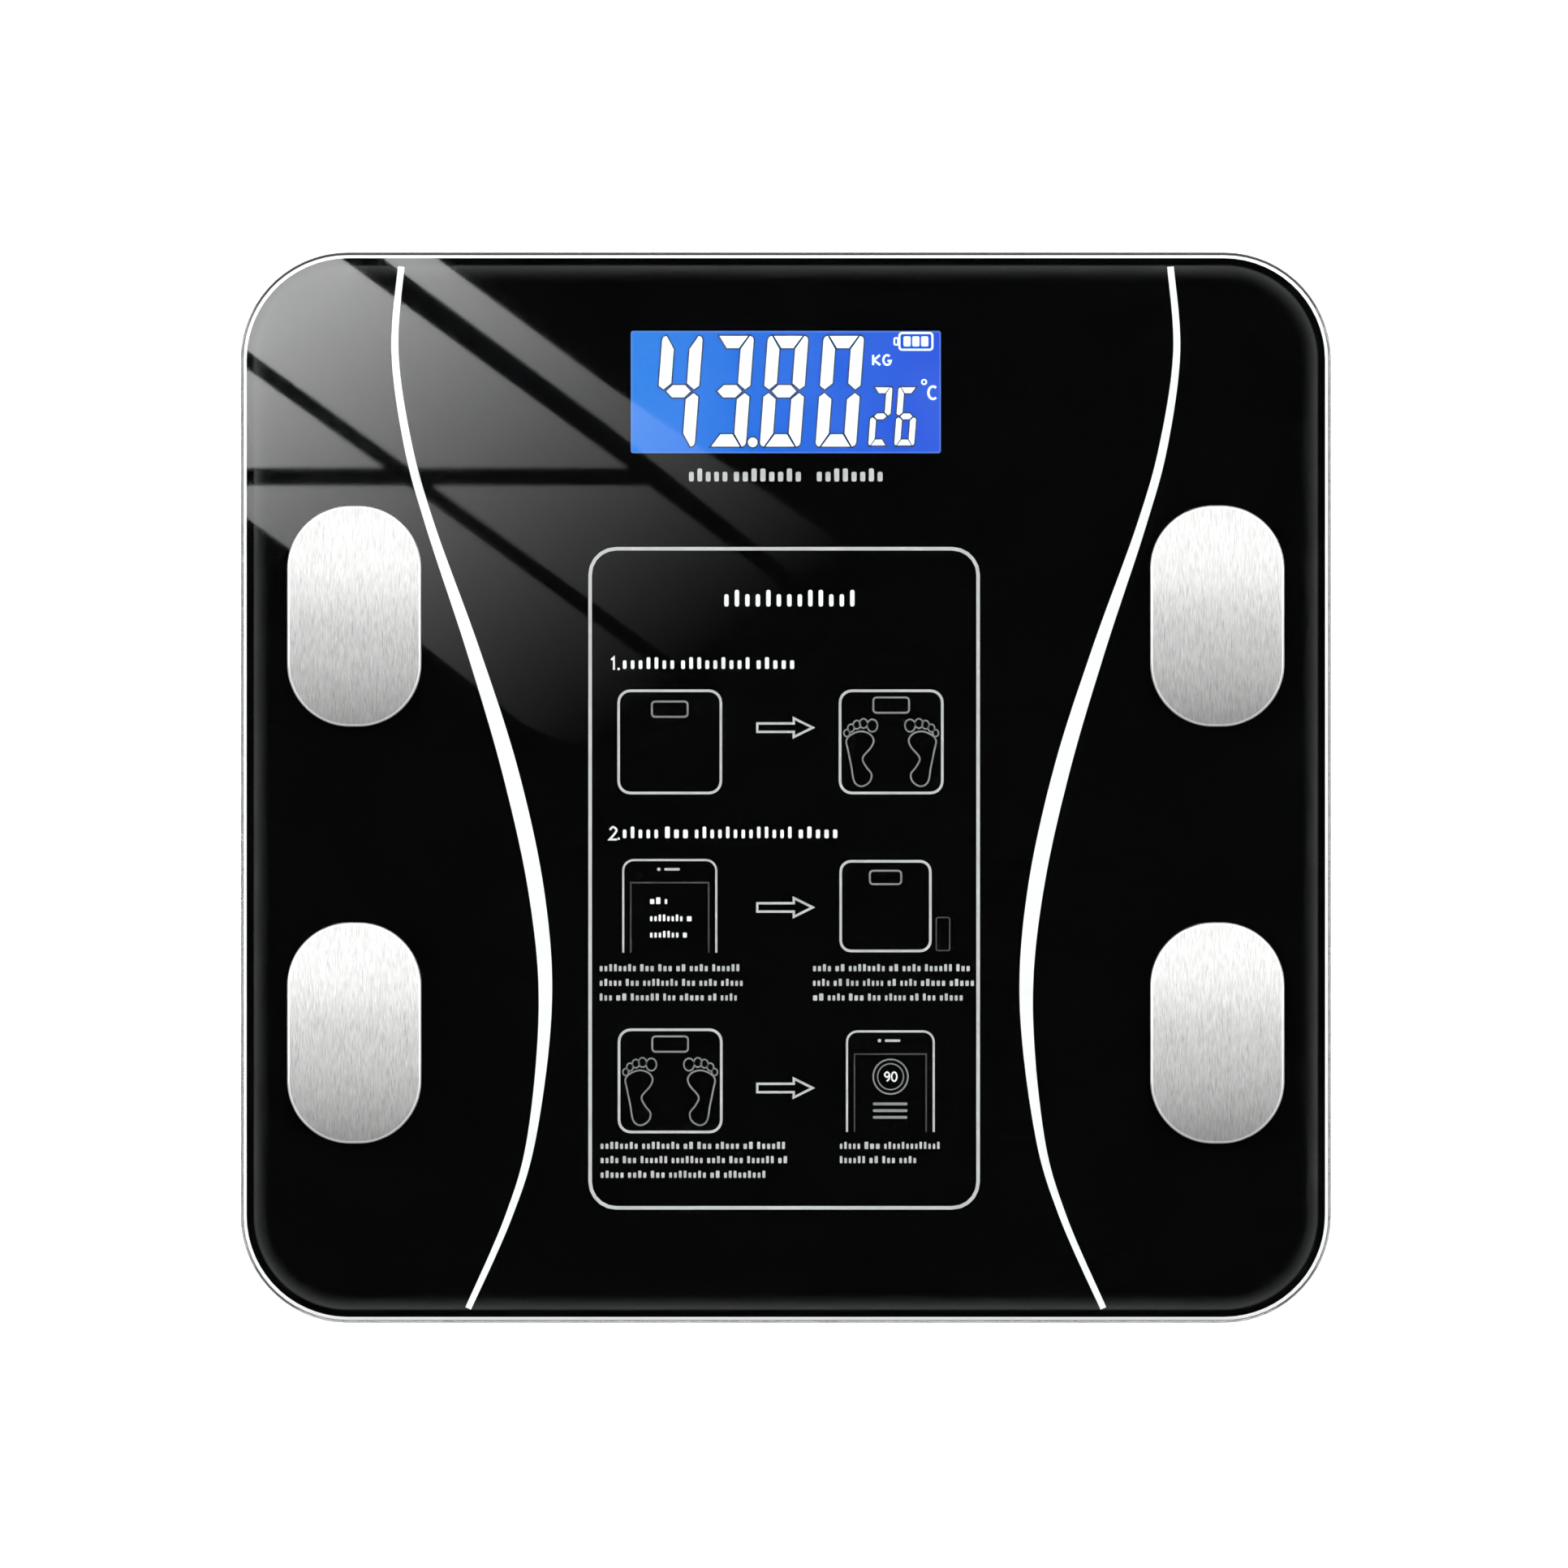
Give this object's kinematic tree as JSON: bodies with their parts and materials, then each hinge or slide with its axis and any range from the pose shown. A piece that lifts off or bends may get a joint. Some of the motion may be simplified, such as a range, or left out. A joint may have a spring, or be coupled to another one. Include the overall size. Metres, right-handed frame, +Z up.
{
  "type": "digital bathroom scale",
  "caption": "Low square body-composition scale: clear glass over black print, steel foot electrodes, blue display, plastic base on sensing feet.",
  "frame": {"origin": "on the floor, under the middle of the platform", "axes": "+Z up, +X to the right of a person standing on the scale, +Y towards the display"},
  "size_m": [0.26, 0.2552, 0.0247],
  "materials": {
    "clear_glass": "polished clear tempered glass",
    "black_print": "black screen print under glass",
    "foam_tape": "closed-cell foam tape",
    "clear_glue": "clear glue film",
    "insulator": "nylon",
    "tinned_brass": "tinned",
    "zinc_steel": "zinc plated",
    "display_glass": "display panes",
    "light_guide": "lit blue light guide",
    "white_plastic": "moulded",
    "board": "solder mask",
    "chip_black": "moulded epoxy",
    "white_print": "white screen print under glass",
    "lit_segment": "lit display segment",
    "radio_can": "tinned screening can",
    "component_ceramic": "ceramic chips",
    "button_plastic": "fine texture",
    "base_plastic": "fine spark texture",
    "silicone": "silicone",
    "battery_jacket": "printed jacket",
    "spring_steel": "nickel plated",
    "door_plastic": "fine spark texture",
    "wire_jacket": "soft insulation",
    "electrode_steel": "vertical brush",
    "cell_steel": "stamped",
    "foot_plastic": "moulded",
    "foot_rubber": "soft non-slip"
  },
  "bodies": {
    "scale": {"base_tray": "base_plastic", "battery_a": "battery_jacket", "battery_b": "battery_jacket", "battery_wires": "wire_jacket", "board_screws": "zinc_steel", "bonding_tape": "foam_tape", "contact_bridge": "spring_steel", "contact_negative": "spring_steel", "contact_positive": "spring_steel", "display_gasket": "foam_tape", "electrode_front_left": "electrode_steel", "electrode_front_right": "electrode_steel", "electrode_glue_pads": "clear_glue", "electrode_nuts": "zinc_steel", "electrode_rear_left": "electrode_steel", "electrode_rear_right": "electrode_steel", "electrode_ring_terminals": "tinned_brass", "electrode_washers": "insulator", "electrode_wire_front_left": "wire_jacket", "electrode_wire_front_right": "wire_jacket", "electrode_wire_rear_left": "wire_jacket", "electrode_wire_rear_right": "wire_jacket", "gauge_coatings": "silicone", "glass_platform": "clear_glass", "lcd_backlight": "light_guide", "lcd_frame": "white_plastic", "lcd_glass": "display_glass", "lcd_pins": "tinned_brass", "load_cell_front_left": "cell_steel", "load_cell_front_right": "cell_steel", "load_cell_rear_left": "cell_steel", "load_cell_rear_right": "cell_steel", "load_cell_retainer_front_left": "white_plastic", "load_cell_retainer_front_right": "white_plastic", "load_cell_retainer_rear_left": "white_plastic", "load_cell_retainer_rear_right": "white_plastic", "main_board": "board", "print_film": "black_print", "processor_chip": "chip_black", "radio_module": "radio_can", "retainer_screws": "zinc_steel", "sensor_wires_front_left": "wire_jacket", "sensor_wires_front_right": "wire_jacket", "sensor_wires_rear_left": "wire_jacket", "sensor_wires_rear_right": "wire_jacket", "small_components": "component_ceramic", "switch_body": "chip_black"},
    "foot_front_left": {"foot_cup_front_left": "foot_plastic", "foot_pad_front_left": "foot_rubber"},
    "foot_front_right": {"foot_cup_front_right": "foot_plastic", "foot_pad_front_right": "foot_rubber"},
    "foot_rear_left": {"foot_cup_rear_left": "foot_plastic", "foot_pad_rear_left": "foot_rubber"},
    "foot_rear_right": {"foot_cup_rear_right": "foot_plastic", "foot_pad_rear_right": "foot_rubber"},
    "unit_button_body": {"unit_button": "button_plastic", "switch_plunger": "white_plastic"},
    "door": {"battery_door": "door_plastic"}
  },
  "joints": [
    {"name": "foot_front_left_press", "type": "slide", "parent": "scale", "child": "foot_front_left", "axis": [0, 0, 1], "range_m": [0, 0.0005], "stiffness_N_per_m": 3000, "springref_m": -0.0015, "deforming": ["load_cell_front_left"]},
    {"name": "foot_front_right_press", "type": "slide", "parent": "scale", "child": "foot_front_right", "axis": [0, 0, 1], "range_m": [0, 0.0005], "stiffness_N_per_m": 3000, "springref_m": -0.0015, "deforming": ["load_cell_front_right"]},
    {"name": "foot_rear_left_press", "type": "slide", "parent": "scale", "child": "foot_rear_left", "axis": [0, 0, 1], "range_m": [0, 0.0005], "stiffness_N_per_m": 3000, "springref_m": -0.0015, "deforming": ["load_cell_rear_left"]},
    {"name": "foot_rear_right_press", "type": "slide", "parent": "scale", "child": "foot_rear_right", "axis": [0, 0, 1], "range_m": [0, 0.0005], "stiffness_N_per_m": 3000, "springref_m": -0.0015, "deforming": ["load_cell_rear_right"]},
    {"name": "unit_button_press", "type": "slide", "parent": "scale", "child": "unit_button_body", "axis": [0, 0, 1], "range_m": [0, 0.0005], "stiffness_N_per_m": 500},
    {"name": "battery_door_hinge", "type": "hinge", "parent": "scale", "child": "door", "pos_m": [-0.0295, 0.045, 0.00615], "axis": [0, 1, 0], "range_deg": [0, 90]}
  ]
}
